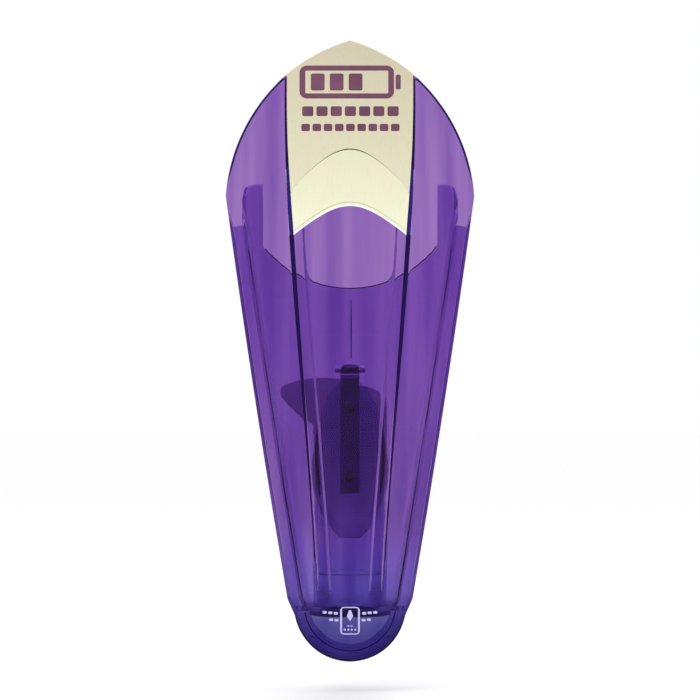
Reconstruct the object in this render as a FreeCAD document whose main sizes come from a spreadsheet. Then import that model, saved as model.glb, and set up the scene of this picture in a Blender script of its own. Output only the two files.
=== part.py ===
"""Clear dust container of a cordless stick vacuum, as a parametric FreeCAD document.

Millimetres. +Z runs up the container, its front faces -Y, and the origin is the centre of the inlet
socket's mouth. The curved shells are cut from two shapes: the front-view outline, pushed through
along Y, and the faceted front, lofted along Z. The sheet named Sizes drives every sub-part.
"""
import FreeCAD, Part
import Sketcher
import math
import os

V = FreeCAD.Vector
FAR = 200.0
LOFT_STEP = 40
RIVETS = {"high": "RivetHigh", "low": "RivetLow"}

SIZES = {
    # front-view outline, right half
    "ApexHeight": 270.0,
    "ArchHalf": 46.9,
    "ArchHeight": 233.6,
    "CornerHalf": 58.1,
    "CornerHeight": 197.7,
    "SideHalf": 44.3,
    "SideHeight": 103.0,
    "ShoulderHalf": 29.4,
    "ShoulderHeight": 9.5,
    "StepHalf": 25.9,
    "StepHeight": 1.6,
    "ChinHalf": 16.8,
    "ChinHeight": -13.8,
    "ChinTip": -20.0,
    # faceted front
    "FrontReach": 49.0,
    "BellyHeight": 145.0,
    "ChinSetback": 20.0,
    "RidgeLow": 14.9,
    "RidgeGain": 15.4,
    "RidgeStart": -25.0,
    "RidgeRise": 270.0,
    "StripWidth": 6.5,
    "ChannelDepth": 2.4,
    "FacetFall": 0.5,
    "ShellWall": 2.6,
    "LipWall": 2.0,
    "SplitPlane": 21.0,
    "LipTaperHeight": 184.0,
    "LipTaper": 9.0,
    # rear tub
    "TubInset": 6.0,
    "TubWall": 1.7,
    "TubBack": 21.0,
    "FlangeThick": 1.6,
    "FlangeTop": 184.0,
    "EarFront": 184.0,
    "EarBack": 206.0,
    "EarInner": 41.5,
    "MouthSide": 175.5,
    "MouthMiddle": 155.0,
    "FloorHeight": 4.0,
    "FloorThick": 2.0,
    "SkirtBack": 16.5,
    "KeelThick": 1.4,
    "KeelDeep": 3.0,
    "KeelLow": 121.0,
    "KeelHigh": 151.0,
    "GuideHalf": 34.0,
    "GuideWidth": 6.0,
    "GuideHigh": 161.0,
    "GuideLow": 114.5,
    "GuideDeep": 1.4,
    "SlotHalf": 17.8,
    "SlotHeight": -8.7,
    "SlotWide": 3.0,
    "SlotTall": 1.4,
    "SlotFloor": 29.3,
    # inlet duct, its socket and its seal
    "BoreRadius": 15.0,
    "SocketRadius": 15.6,
    "SocketDeep": 20.0,
    "DuctWall": 2.0,
    "DuctTop": 112.0,
    "MouthFront": 38.0,
    "SealWall": 1.8,
    "SealLow": 0.5,
    "SealTall": 3.0,
    # flap, its spine, rivets and pin
    "FlapLift": 0.3,
    "FlapThick": 1.6,
    "FlapHalf": 17.8,
    "FlapWaist": 38.0,
    "FlapReach": 82.0,
    "FlapTip": 5.0,
    "FlapBelly": 14.2,
    "FlapBellyLow": 68.0,
    "FlapTop": 1.0,
    "FlapNotch": 6.5,
    "FlapNotchLow": 4.5,
    "FlapRoundHalf": 14.2,
    "FlapRoundLow": 7.9,
    "FlapCornerLow": 14.6,
    "WingTip": 32.0,
    "WingEnd": 32.8,
    "WingEndLow": 7.3,
    "WingUpper": 4.5,
    "WingLower": 10.0,
    "WingRoot": 24.0,
    "WingBulge": 25.6,
    "WingBulgeLow": 17.4,
    "WingCrestHalf": 16.0,
    "WingCrest": 0.2,
    "SpineHalf": 4.6,
    "SpineThick": 2.4,
    "SpineReach": 60.0,
    "EyeUp": 3.0,
    "EyeOut": 3.4,
    "EyeRadius": 3.0,
    "PinRadius": 1.0,
    "PinFit": 0.06,
    "PinRoom": 0.2,
    "PivotLug": 2.0,
    "PivotLugRadius": 2.2,
    "LugThick": 3.0,
    "LugGap": 0.4,
    "RivetRadius": 1.2,
    "RivetHead": 2.2,
    "RivetHeadTall": 0.9,
    "RivetHigh": 16.0,
    "RivetLow": 52.0,
    # trim and latch
    "TrimGap": 0.25,
    "TrimTaper": 1.5,
    "TrimTaperTop": 245.0,
    "TrimTaperRun": 65.0,
    "TrimFront": 0.1,
    "TrimBack": 2.2,
    "ArcHalf": 28.0,
    "CreaseMiddle": 218.8,
    "CreaseSide": 198.5,
    "CreaseGap": 0.9,
    "EdgeMiddle": 193.5,
    "EdgeSide": 180.0,
    "WindowRaise": 8.0,
    "WindowDrop": 1.1,
    "PivotBack": 39.8,
    "PivotHeight": 216.0,
    "LatchPinRadius": 1.25,
    "HubRadius": 2.8,
    "HubHalf": 14.6,
    "HubGap": 3.2,
    "HubFlat": 2.65,
    "SpringRoom": 0.4,
    "PadHalf": 12.0,
    "PadThick": 1.8,
    "ArmHalf": 6.0,
    "ArmFront": 1.4,
    "ArmThick": 4.2,
    "ArmLow": 1.0,
    "ArmTop": 31.0,
    "ArmLean": 5.8,
    "HookReach": 14.6,
    "HookTop": 32.5,
    "HookNoseTop": 28.5,
    "HookNoseLow": 27.0,
    "BossRadius": 3.2,
    "BossBore": 1.25,
    "BossBlind": 0.7,
    "BossRoot": -0.3,
    "BossHalf": 17.0,
    "BossHeight": 238.0,
    "ScrewHead": 2.7,
    "ScrewHeadTall": 1.6,
    "HeadLift": 0.45,
    "ScrewLength": 5.4,
    "CarrierHalf": 22.0,
    "CarrierThick": 2.2,
    "CarrierLow": 9.0,
    "CarrierHigh": 29.0,
    "ArmRoom": 2.0,
    "EarDrop": 7.0,
    "EarRise": 12.0,
    "EarNear": 0.9,
    "EarFar": 6.4,
    "BarNear": 3.4,
    "BarThick": 2.0,
    "BarTall": 2.5,
    "SpringRadius": 2.2,
    "SpringWire": 0.35,
    "SpringPitch": 0.9,
    "SpringLength": 4.5,
    "SpringLeg": 6.0,
}

doc = FreeCAD.newDocument("DustContainer")
sheet = doc.addObject("Spreadsheet::Sheet", "Sizes")
for row, (alias, value) in enumerate(SIZES.items(), start=1):
    sheet.set(f"A{row}", alias)
    sheet.set(f"B{row}", str(value))
    sheet.setAlias(f"B{row}", alias)
doc.recompute()


def size(expression):
    """A driving dimension, or a sum of them, worked out by the sheet."""
    return float(sheet.evalExpression(expression))


def sheet_terms(expression):
    """The same expression, as objects outside the sheet write it."""
    words = expression.split()
    return " ".join(f"Sizes.{word}" if word in SIZES else word for word in words)


def bound(kind, name, **sizes):
    """A document object whose properties follow expressions in the sheet's aliases."""
    item = doc.addObject(kind, name)
    for prop, expression in sizes.items():
        item.setExpression(prop, sheet_terms(expression))
    return item


def coded(name, shape):
    """A sub-part whose solid no single feature can make."""
    item = doc.addObject("Part::Feature", name)
    item.Shape = shape
    return item


def fused(name, *items):
    joined = doc.addObject("Part::MultiFuse", name)
    joined.Shapes = list(items)
    return joined


def cut(name, base, tool):
    result = doc.addObject("Part::Cut", name)
    result.Base = base
    result.Tool = tool
    return result


# ---------------------------------------------------------------- sketches

def origin_plane(body, role):
    return next(f for f in body.Origin.OriginFeatures if f.Role == role)


def end_at(sketch, geometry, point):
    """1 or 2: which end of a sketch's line or arc lies at the point."""
    return min((1, 2), key=lambda end: sketch.getPoint(geometry, end).distanceToPoint(point))


def profile(body, role, name, corners, arcs=None, lift=0.0):
    """A closed sketch on one of the body's planes, with every corner held by an expression.

    arcs gives, for the side that starts at a corner, the middle point that it bulges through.
    """
    sketch = body.newObject("Sketcher::SketchObject", name)
    sketch.AttachmentSupport = (origin_plane(body, role), [""])
    sketch.MapMode = "FlatFace"
    sketch.AttachmentOffset = FreeCAD.Placement(V(0, 0, lift), FreeCAD.Rotation())
    points = [V(size(across), size(along), 0) for across, along in corners]
    for i, start in enumerate(points):
        end = points[(i + 1) % len(points)]
        middle = (arcs or {}).get(i)
        if middle:
            sketch.addGeometry(Part.Arc(start, V(size(middle[0]), size(middle[1]), 0), end))
        else:
            sketch.addGeometry(Part.LineSegment(start, end))
    for i, (corner, point) in enumerate(zip(corners, points)):
        before = i - 1 if i else len(points) - 1
        ends = (before, end_at(sketch, before, point), i, end_at(sketch, i, point))
        sketch.addConstraint(Sketcher.Constraint("Coincident", *ends))
        hold(sketch, "DistanceX", i, point, corner[0], point.x, -2)
        hold(sketch, "DistanceY", i, point, corner[1], point.y, -1)
    return sketch


def hold(sketch, kind, geometry, point, expression, value, axis):
    """Tie a corner to the sketch's root by one coordinate, or put it on the axis where that is 0."""
    end = end_at(sketch, geometry, point)
    if abs(value) < 1e-9:
        sketch.addConstraint(Sketcher.Constraint("PointOnObject", geometry, end, axis))
        return
    held = sketch.addConstraint(Sketcher.Constraint(kind, -1, 1, geometry, end, value))
    sketch.setExpression(f"Constraints[{held}]", sheet_terms(expression))


def padded_body(name, role, corners, length, arcs=None, lift=0.0):
    body = doc.addObject("PartDesign::Body", name)
    sketch = profile(body, role, f"{name}_outline", corners, arcs, lift)
    pad = body.newObject("PartDesign::Pad", f"{name}_pad")
    pad.Profile = sketch
    pad.setExpression("Length", sheet_terms(length))
    return body


def turned_body(name, corners):
    """A body of revolution about its own Z, from corners given as (radius, height)."""
    body = doc.addObject("PartDesign::Body", name)
    sketch = profile(body, "XZ_Plane", f"{name}_section", corners)
    turn = body.newObject("PartDesign::Revolution", f"{name}_turn")
    turn.Profile = sketch
    turn.ReferenceAxis = (sketch, ["V_Axis"])
    turn.Angle = 360
    return body


# ---------------------------------------------------------------- shared shapes

def smooth(fraction):
    """0 to 1, level at both ends."""
    fraction = min(max(fraction, 0.0), 1.0)
    return fraction * fraction * (3 - 2 * fraction)


def ridge_half(z):
    """Half the distance between the two ridges beside the front channel."""
    rise = smooth((z - size("RidgeStart")) / size("RidgeRise"))
    return size("RidgeLow") + size("RidgeGain") * rise


def ridge_front(z):
    """Y of the ridges: a shallow bow, furthest forward at the belly."""
    belly = size("BellyHeight")
    bow = (z - belly) / (belly - size("ChinTip"))
    return -size("FrontReach") + size("ChinSetback") * bow ** 2


def lofted(section):
    """A solid through one section every LOFT_STEP, from below the chin to above the apex."""
    heights = range(-LOFT_STEP, 8 * LOFT_STEP + 1, LOFT_STEP)
    wires = [Part.makePolygon([V(x, y, z) for x, y in section(z)]) for z in heights]
    return Part.makeLoft(wires, True, False)


def behind_front(back):
    """Everything more than a distance back from the faceted front."""
    reach = size("CornerHalf + 4")

    def section(z):
        ridge, front = ridge_half(z), ridge_front(z) + back
        floor = ridge - size("StripWidth")
        edge = front + (reach - ridge) * size("FacetFall")
        half = [(floor, front + size("ChannelDepth")), (ridge, front), (reach, edge), (reach, FAR)]
        left = [(-x, y) for x, y in reversed(half)]
        return left + half + left[:1]

    return lofted(section)


def trim_taper(z):
    """How far the trim's sides stand back from the ridges: more towards its lower tips."""
    below = (size("TrimTaperTop") - z) / size("TrimTaperRun")
    return size("TrimTaper") * max(below, 0.0)


def channel_slab(front, back, grow_front, grow_back, tapered=False):
    """A slab that lies across the channel from ridge to ridge."""
    def section(z):
        ridge, y = ridge_half(z) - (trim_taper(z) if tapered else 0.0), ridge_front(z)
        half = [(ridge + grow_front, y + front), (ridge + grow_back, y + back)]
        left = [(-x, depth) for x, depth in reversed(half)]
        return left + half + left[:1]

    return lofted(section)


def arc(start, middle, end):
    return Part.Arc(*(V(x, 0, z) for x, z in (start, middle, end))).toShape()


def line(start, end):
    return Part.makeLine(V(start[0], 0, start[1]), V(end[0], 0, end[1]))


def outline():
    """The container as seen from the front: pointed arch, tapering sides, stepped chin."""
    chin = (0, size("ChinTip"))
    step = (size("StepHalf"), size("StepHeight"))
    shoulder = (size("ShoulderHalf"), size("ShoulderHeight"))
    corner = (size("CornerHalf"), size("CornerHeight"))
    apex = (0, size("ApexHeight"))
    right = [
        arc(chin, (size("ChinHalf"), size("ChinHeight")), step),
        line(step, shoulder),
        arc(shoulder, (size("SideHalf"), size("SideHeight")), corner),
        arc(corner, (size("ArchHalf"), size("ArchHeight")), apex),
    ]
    left = [edge.mirror(V(), V(1, 0, 0)) for edge in right]
    return Part.Wire(Part.__sortEdges__(right + left))


def through(wire):
    """A wire in the XZ plane, pushed through the whole depth."""
    return pushed(Part.Face(wire))


def pushed(face):
    return face.extrude(V(0, 2 * FAR, 0)).translated(V(0, -FAR, 0))


def inset(distance):
    """The outline drawn in by a distance, pushed through the whole depth."""
    return pushed(Part.Face(outline()).makeOffset2D(-distance))


def block(x, y, z):
    """A box from its low and high coordinates along each axis."""
    corner = V(x[0], y[0], z[0])
    return Part.makeBox(x[1] - x[0], y[1] - y[0], z[1] - z[0], corner)


def beam(side_view, half=FAR):
    """A polygon, given as Y and Z, pushed from -half to half along X."""
    wire = Part.makePolygon([V(-half, y, z) for y, z in side_view + side_view[:1]])
    return Part.Face(wire).extrude(V(2 * half, 0, 0))


def pair(shape):
    return shape.fuse(shape.mirror(V(), V(1, 0, 0)))


def across(y, z, radius, half):
    """A cylinder along X, centred on the middle plane."""
    return Part.makeCylinder(radius, 2 * half, V(-half, y, z), V(1, 0, 0))


def above_arc(middle, side, half=None):
    """Everything above an arch from side to side whose peak is on the middle plane."""
    half = half or size("ArcHalf")
    arch = arc((-half, side), (0, middle), (half, side))
    run_out = [line((half, side), (FAR, side)), line((FAR, side), (FAR, 2 * FAR))]
    run_out += [line((FAR, 2 * FAR), (-FAR, 2 * FAR)), line((-FAR, 2 * FAR), (-FAR, side))]
    run_out += [line((-FAR, side), (-half, side))]
    return through(Part.Wire(Part.__sortEdges__([arch] + run_out)))


def button_band(drop, raise_top):
    """The crescent between the crease and the trim's lower edge, let out by both distances."""
    low = above_arc(size("EdgeMiddle") - drop, size("EdgeSide") - drop)
    high = above_arc(size("CreaseMiddle") + raise_top, size("CreaseSide") + raise_top)
    return low.cut(high)


# ---------------------------------------------------------------- shells

def front_shell():
    """Clear front: channel, ridges, side facets and a lip that turns back along the sides."""
    void = inset(size("LipWall")).fuse(block((-FAR, FAR), (-FAR, FAR), (size("CornerHeight"), 2 * FAR)))
    shell = behind_front(0).common(through(outline()))
    shell = shell.cut(behind_front(size("ShellWall")).common(void))
    shell = shell.cut(behind_lip())
    window = channel_slab(-5, 12, size("TrimGap"), size("TrimGap"))
    shell = shell.cut(window.common(button_band(size("WindowDrop"), size("WindowRaise"))))
    middle, half = size("SlotHalf"), size("SlotWide / 2")
    slot = block((middle - half, middle + half), (-FAR, -size("SlotFloor")),
                 (size("SlotHeight"), size("SlotHeight + SlotTall")))
    return shell.cut(pair(slot)).cut(beside_bosses("BossRadius + TrimGap", -FAR))


def beside_bosses(radius, start):
    """Two cylinders towards the back, on the axes of the screw bosses, from a given Y."""
    place = V(size("BossHalf"), start, size("BossHeight"))
    return pair(Part.makeCylinder(size(radius), 2 * FAR, place, V(0, 1, 0)))


def behind_lip():
    """Space behind the shell's rear rim: a flat rim that runs forward near the widest corner."""
    split, taper = -size("SplitPlane"), size("LipTaper")
    return beam([(split, -FAR), (FAR, -FAR), (FAR, size("CornerHeight")),
                 (split - taper, size("CornerHeight")), (split, size("LipTaperHeight"))])


def rear_tub():
    """Clear rear half: tapering walls, an open mouth at the top, floor, hinge lugs and ribs."""
    split, back, wall = -size("SplitPlane"), size("TubBack"), size("TubWall")
    contour, hollow = inset(size("TubInset")), inset(size("TubInset + TubWall"))
    tub = contour.common(block((-FAR, FAR), (split, back), (-FAR, FAR)))
    tub = tub.cut(hollow.common(block((-FAR, FAR), (-FAR, back - wall), (-FAR, FAR))))
    tub = tub.cut(above_ears())
    mouth = above_arc(size("MouthMiddle"), size("MouthSide"), size("EarInner"))
    mouth = mouth.common(block((-size("EarInner"), size("EarInner")), (0, FAR), (0, 2 * FAR)))
    tub = tub.cut(mouth)
    tub = tub.cut(block((-FAR, FAR), (-size("SkirtBack"), FAR), (-FAR, size("FloorHeight"))))
    rim = block((-FAR, FAR), (split, split + size("FlangeThick")), (-FAR, size("FlangeTop")))
    flange = through(outline()).cut(contour).common(rim)
    return tub.fuse([flange, tub_floor(), hinge_lugs(), tub_ribs()]).removeSplitter()


def above_ears():
    """Space above the side walls, whose top edges climb towards the back."""
    front, back = (-size("SplitPlane"), size("EarFront")), (size("TubBack"), size("EarBack"))
    return beam([front, back, (FAR, back[1]), (FAR, 2 * FAR), (-FAR, 2 * FAR), (-FAR, front[1])])


def tub_floor():
    low, high = size("FloorHeight"), size("FloorHeight + FloorThick")
    front_space = behind_front(size("ShellWall + FlapLift")).common(inset(size("LipWall + FlapLift")))
    slab = block((-FAR, FAR), (-FAR, -size("SplitPlane")), (low, high)).common(front_space)
    slab = slab.fuse(block((-FAR, FAR), (-size("SplitPlane"), size("TubBack")), (low, high))
                     .common(inset(size("TubInset"))))
    return slab.cut(Part.makeCylinder(size("BoreRadius + DuctWall"), FAR, V(0, 0, -FAR / 2)))


def hinge_point():
    """Y and Z of the flap's hinge pin."""
    lean = flap_lean()
    up, out = size("EyeUp"), size("EyeOut")
    y = size("BoreRadius + DuctWall") + up * math.sin(lean) - out * math.cos(lean)
    z = size("DuctTop") + up * math.cos(lean) + out * math.sin(lean)
    return y, z


def hinge_lugs():
    """Two lugs on the tub's back wall that hold the flap's pin."""
    y, z = hinge_point()
    inner = size("SpineHalf + LugGap")
    outer, radius = inner + size("PivotLug"), size("PivotLugRadius")
    lug = block((inner, outer), (y, size("TubBack - TubWall / 2")), (z - radius, z + radius))
    lug = lug.fuse(Part.makeCylinder(radius, outer - inner, V(inner, y, z), V(1, 0, 0)))
    return pair(lug).cut(across(y, z, size("PinRadius"), FAR))


def tub_ribs():
    """A thin keel above the hinge, and two tapering guides on the outside of the back wall."""
    inside, back = size("TubBack - TubWall"), size("TubBack")
    half = size("KeelThick") / 2
    keel = block((-half, half), (inside - size("KeelDeep"), inside), (size("KeelLow"), size("KeelHigh")))
    middle, spread = size("GuideHalf"), size("GuideWidth") / 2
    corners = [(middle - spread, size("GuideHigh")), (middle + spread, size("GuideHigh")),
               (middle, size("GuideLow"))]
    wire = Part.makePolygon([V(x, back, z) for x, z in corners + corners[:1]])
    return pair(Part.Face(wire).extrude(V(0, size("GuideDeep"), 0))).fuse(keel)


# ---------------------------------------------------------------- inlet duct

def flap_lean():
    """Angle between the duct's slanting mouth and the upright, in radians."""
    return math.atan2(size("2 * ( BoreRadius + DuctWall )"), size("DuctTop - MouthFront"))


def on_mouth(item, shift=V()):
    """Stand an item on the slanting mouth: its X across, its Y up the slant, its Z out of the duct."""
    top = V(0, size("BoreRadius + DuctWall"), size("DuctTop"))
    slant = FreeCAD.Placement(top, FreeCAD.Rotation(V(1, 0, 0), 90 - math.degrees(flap_lean())))
    item.Placement = slant * FreeCAD.Placement(shift, FreeCAD.Rotation())
    return item


def inlet_tube():
    """Straight duct through the tub's floor: a socket below, and a slanting mouth for the flap above."""
    outside = bound("Part::Cylinder", "duct_outside", Radius="BoreRadius + DuctWall", Height="DuctTop")
    bore = bound("Part::Cylinder", "duct_bore", Radius="BoreRadius", Height="DuctTop")
    socket = bound("Part::Cylinder", "duct_socket", Radius="SocketRadius", Height="SocketDeep")
    trimmer = on_mouth(doc.addObject("Part::Box", "mouth_trimmer"), V(-FAR / 2, -FAR, 0))
    trimmer.Length, trimmer.Width, trimmer.Height = FAR, 2 * FAR, FAR
    return cut("inlet_tube", cut("duct_pipe", outside, fused("duct_inside", bore, socket)), trimmer)


def inlet_seal():
    """Soft ring with a rounded lip round the socket's mouth."""
    inner, outer = "BoreRadius + DuctWall", "BoreRadius + DuctWall + SealWall"
    low, high = "SealLow", "SealLow + SealTall"
    return turned_body("inlet_seal", [(inner, low), (outer, low), (outer, high), (inner, high)])


def inlet_flap():
    """Rubber leaf over the duct's mouth, with one wing at its upper left."""
    corners = [("FlapHalf", "-1 * FlapWaist"), ("FlapTip", "-1 * FlapReach"),
               ("-1 * FlapTip", "-1 * FlapReach"), ("-1 * FlapHalf", "-1 * FlapWaist"),
               ("-1 * FlapHalf", "-1 * WingRoot"), ("-1 * WingTip", "-1 * WingLower"),
               ("-1 * WingTip", "-1 * WingUpper"), ("-1 * SpineHalf", "-1 * FlapTop"),
               ("SpineHalf", "-1 * FlapTop"), ("SpineHalf", "-1 * FlapNotchLow"),
               ("FlapNotch", "-1 * FlapNotchLow"), ("FlapHalf", "-1 * FlapCornerLow")]
    bulges = {0: ("FlapBelly", "-1 * FlapBellyLow"), 2: ("-1 * FlapBelly", "-1 * FlapBellyLow"),
              4: ("-1 * WingBulge", "-1 * WingBulgeLow"), 5: ("-1 * WingEnd", "-1 * WingEndLow"),
              6: ("-1 * WingCrestHalf", "-1 * WingCrest"), 10: ("FlapRoundHalf", "-1 * FlapRoundLow")}
    leaf = padded_body("flap_leaf", "XY_Plane", corners, "FlapThick", bulges, size("FlapLift"))
    return cut("inlet_flap", on_mouth(leaf), rivet_holes("leaf"))


def flap_spine():
    """Stiff finger down the middle of the leaf, with the hinge eye at its top."""
    base = size("FlapLift + FlapThick")
    bar = bound("Part::Box", "spine_bar", Length="2 * SpineHalf", Width="SpineReach + EyeUp",
                Height="SpineThick")
    on_mouth(bar, V(-size("SpineHalf"), -size("SpineReach"), base))
    eye = bound("Part::Cylinder", "spine_eye", Radius="EyeRadius", Height="2 * SpineHalf")
    bore = bound("Part::Cylinder", "spine_bore", Radius="PinRadius + PinFit", Height="4 * SpineHalf")
    for round_piece, reach in ((eye, size("SpineHalf")), (bore, size("2 * SpineHalf"))):
        round_piece.Placement = along_x(V(-reach, *hinge_point()))
    reach, crown = "-1 * SpineReach - EyeUp", "EyeUp + EyeRadius"
    shoulder = f"{crown} - SpineHalf"
    finger = on_mouth(padded_body("spine_finger", "XY_Plane", [
        ("SpineHalf", reach), ("SpineHalf", shoulder), ("-1 * SpineHalf", shoulder),
        ("-1 * SpineHalf", reach)], "4 * EyeRadius", {1: ("0", crown)}, -size("EyeRadius")))
    rounded = doc.addObject("Part::MultiCommon", "spine_rounded")
    rounded.Shapes = [fused("spine_blank", bar, eye), finger]
    return cut("flap_spine", cut("spine_bored", rounded, bore), rivet_holes("spine"))


def rivet_holes(owner):
    """Two clearance holes for the rivets, as one tool."""
    holes = []
    for level, alias in RIVETS.items():
        hole = bound("Part::Cylinder", f"{owner}_hole_{level}", Radius="RivetRadius + PinFit / 2",
                     Height="4 * SpineThick")
        holes.append(on_mouth(hole, V(0, -size(alias), -size("SpineThick"))))
    return fused(f"{owner}_holes", *holes)


def along_x(base):
    return FreeCAD.Placement(base, FreeCAD.Rotation(V(0, 1, 0), 90))


def flap_rivet(level, alias):
    """Round-headed rivet through the spine and the leaf, clenched on the duct's side."""
    back, front = "FlapLift", "FlapLift + FlapThick + SpineThick"
    rivet = turned_body(f"flap_rivet_{level}", [
        ("0", f"{back} - RivetHeadTall"), ("RivetHead", f"{back} - RivetHeadTall"), ("RivetHead", back),
        ("RivetRadius", back), ("RivetRadius", front), ("RivetHead", front),
        ("RivetRadius", f"{front} + RivetHeadTall"), ("0", f"{front} + RivetHeadTall")])
    return on_mouth(rivet, V(0, -size(alias), 0))


def flap_pin():
    """Steel pin through both lugs and the spine's eye."""
    reach = size("SpineHalf + LugGap + PivotLug")
    pin = bound("Part::Cylinder", "flap_pin", Radius="PinRadius",
                Height="2 * ( SpineHalf + LugGap + PivotLug )")
    pin.Placement = along_x(V(-reach, *hinge_point()))
    return pin


# ---------------------------------------------------------------- trim and latch

def label_plate():
    """Opaque upper plate of the trim, with two screw bosses behind it."""
    gap = size("TrimGap")
    slab = channel_slab(size("TrimFront"), size("TrimBack"), -2 * gap, -size("StripWidth"), True)
    plate = slab.common(through(outline()))
    plate = plate.common(above_arc(size("CreaseMiddle + CreaseGap"), size("CreaseSide + CreaseGap")))
    between = behind_front(size("BossRoot")).cut(behind_front(size("ShellWall")))
    bosses = beside_bosses("BossRadius", -FAR).common(between)
    return plate.fuse(bosses).cut(beside_bosses("BossBore", boss_floor()))


def boss_floor():
    """Y of the blind end of a boss's bore, part way into the plate."""
    return ridge_front(size("BossHeight")) + size("TrimBack - BossBlind")


def carrier_back():
    """Y of the carrier's back face at its screws, which is inclined there."""
    return ridge_front(size("BossHeight")) + size("ChannelDepth + ShellWall + CarrierThick")


def release_button():
    """Bright crescent under the plate, pushed in at its lower edge."""
    gap = size("TrimGap")
    slab = channel_slab(size("TrimFront"), size("TrimBack"), -gap, -gap, True)
    return slab.common(button_band(0, 0))


def latch_lever():
    """Lever behind the button: a pad on its back, a hub on the pin and an arm with the hook."""
    y, z = -size("PivotBack"), size("PivotHeight")
    back = size("TrimBack")
    pad = channel_slab(back, back + size("PadThick"), -1, -1).common(button_band(-1, 0))
    pad = pad.common(block((-size("PadHalf"), size("PadHalf")), (-FAR, FAR), (0, z)))
    hub = across(y, z, size("HubRadius"), size("HubHalf"))
    front, lean, thick = y + size("ArmFront"), size("ArmLean"), size("ArmThick")
    low, top, nose = z - size("ArmLow"), z + size("ArmTop"), y + size("HookReach")
    arm = beam([(front, low), (front + lean, top), (front + lean + 2, z + size("HookTop")),
                (nose, z + size("HookNoseTop")), (nose, z + size("HookNoseLow")),
                (front + lean + 2, z + size("HookNoseLow")), (front + thick, low + 2)], size("ArmHalf"))
    lever = pad.fuse([hub, arm])
    lever = lever.cut(across(y, z, size("SpringRadius + SpringWire + SpringRoom"), size("HubGap")))
    lever = lever.cut(block((-size("HubGap"), size("HubGap")), (-FAR, y + size("HubFlat")),
                            (z, z + size("EarDrop"))))
    return lever.cut(across(y, z, size("LatchPinRadius + PinFit"), FAR))


def latch_carrier():
    """Bracket screwed to the bosses: a plate behind the shell, two lugs and a bar for the spring."""
    y, z = -size("PivotBack"), size("PivotHeight")
    channel = size("ChannelDepth + ShellWall")
    half, arm = size("CarrierHalf"), size("ArmHalf + ArmRoom")
    plate = channel_slab(channel, channel + size("CarrierThick"), 0, 0)
    band = (z + size("CarrierLow"), z + size("CarrierHigh"))
    plate = plate.common(block((-half, half), (-FAR, FAR), band))
    plate = plate.cut(block((-arm, arm), (-FAR, FAR), band))
    inner, low = size("HubHalf + LugGap"), z - size("EarDrop")
    outer = inner + size("LugThick")
    ear = block((inner, outer), (y + size("EarNear"), y + size("EarFar")), (low, z + size("EarRise")))
    ear = ear.fuse(Part.makeCylinder(size("HubRadius"), outer - inner, V(inner, y, z), V(1, 0, 0)))
    near = y + size("BarNear")
    bar = block((-outer, outer), (near, near + size("BarThick")), (low, low + size("BarTall")))
    carrier = plate.fuse([pair(ear), bar]).cut(beside_bosses("BossBore + PinRoom", -FAR))
    return carrier.cut(across(y, z, size("LatchPinRadius"), FAR))


def latch_pin():
    reach = size("HubHalf + LugGap + LugThick")
    pin = bound("Part::Cylinder", "latch_pin", Radius="LatchPinRadius",
                Height="2 * ( HubHalf + LugGap + LugThick )")
    pin.Placement = along_x(V(-reach, -size("PivotBack"), size("PivotHeight")))
    return pin


def latch_spring():
    """Torsion spring on the pin: one leg on the lever's arm, the other towards the carrier's bar."""
    y, z, radius = -size("PivotBack"), size("PivotHeight"), size("SpringRadius")
    reach = size("SpringLength") / 2
    coil = bound("Part::Helix", "spring_coil", Pitch="SpringPitch", Height="SpringLength",
                 Radius="SpringRadius")
    section = bound("Part::Circle", "spring_section", Radius="SpringWire")
    section.Placement = FreeCAD.Placement(V(radius, 0, 0), FreeCAD.Rotation(V(1, 0, 0), 90))
    sweep = doc.addObject("Part::Sweep", "spring_sweep")
    sweep.Sections, sweep.Spine = [section], (coil, ["Edge1"])
    sweep.Solid, sweep.Frenet = True, True
    turn = FreeCAD.Rotation(V(0, 1, 0), 90) * FreeCAD.Rotation(V(0, 0, 1), 90)
    sweep.Placement = FreeCAD.Placement(V(-reach, y, z), turn)
    legs = []
    for name, x, heading in (("spring_leg_down", -reach, -1), ("spring_leg_up", reach, 1)):
        leg = bound("Part::Cylinder", name, Radius="SpringWire", Height="SpringLeg")
        towards = FreeCAD.Rotation(V(0, 0, 1), V(0, 0, heading))
        leg.Placement = FreeCAD.Placement(V(x, y + radius, z), towards)
        legs.append(leg)
    return fused("latch_spring", sweep, *legs)


def carrier_screw(side, sign):
    """Pan-head screw from behind the carrier into a boss."""
    screw = turned_body(f"carrier_screw_{side}", [
        ("0", "-1 * ScrewLength"), ("BossBore - PinFit", "-1 * ScrewLength"),
        ("BossBore - PinFit", "0"), ("ScrewHead", "0"), ("ScrewHead", "ScrewHeadTall / 2"),
        ("ScrewHead - ScrewHeadTall / 2", "ScrewHeadTall"), ("0", "ScrewHeadTall")])
    base = V(sign * size("BossHalf"), carrier_back() + size("HeadLift"), size("BossHeight"))
    screw.Placement = FreeCAD.Placement(base, FreeCAD.Rotation(V(1, 0, 0), -90))
    return screw


# ---------------------------------------------------------------- build and write

NODES = [
    coded("front_shell", front_shell()),
    coded("rear_tub", rear_tub()),
    inlet_tube(),
    inlet_seal(),
    flap_pin(),
    inlet_flap(),
    flap_spine(),
    *(flap_rivet(level, alias) for level, alias in RIVETS.items()),
    coded("label_plate", label_plate()),
    coded("release_button", release_button()),
    coded("latch_lever", latch_lever()),
    coded("latch_carrier", latch_carrier()),
    latch_pin(),
    latch_spring(),
    carrier_screw("left", -1),
    carrier_screw("right", 1),
]

doc.recompute()
for item in doc.Objects:
    faults = {"Invalid", "Error"} & set(item.State)
    if faults:
        raise RuntimeError(f"{item.Label}: {faults}")

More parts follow.
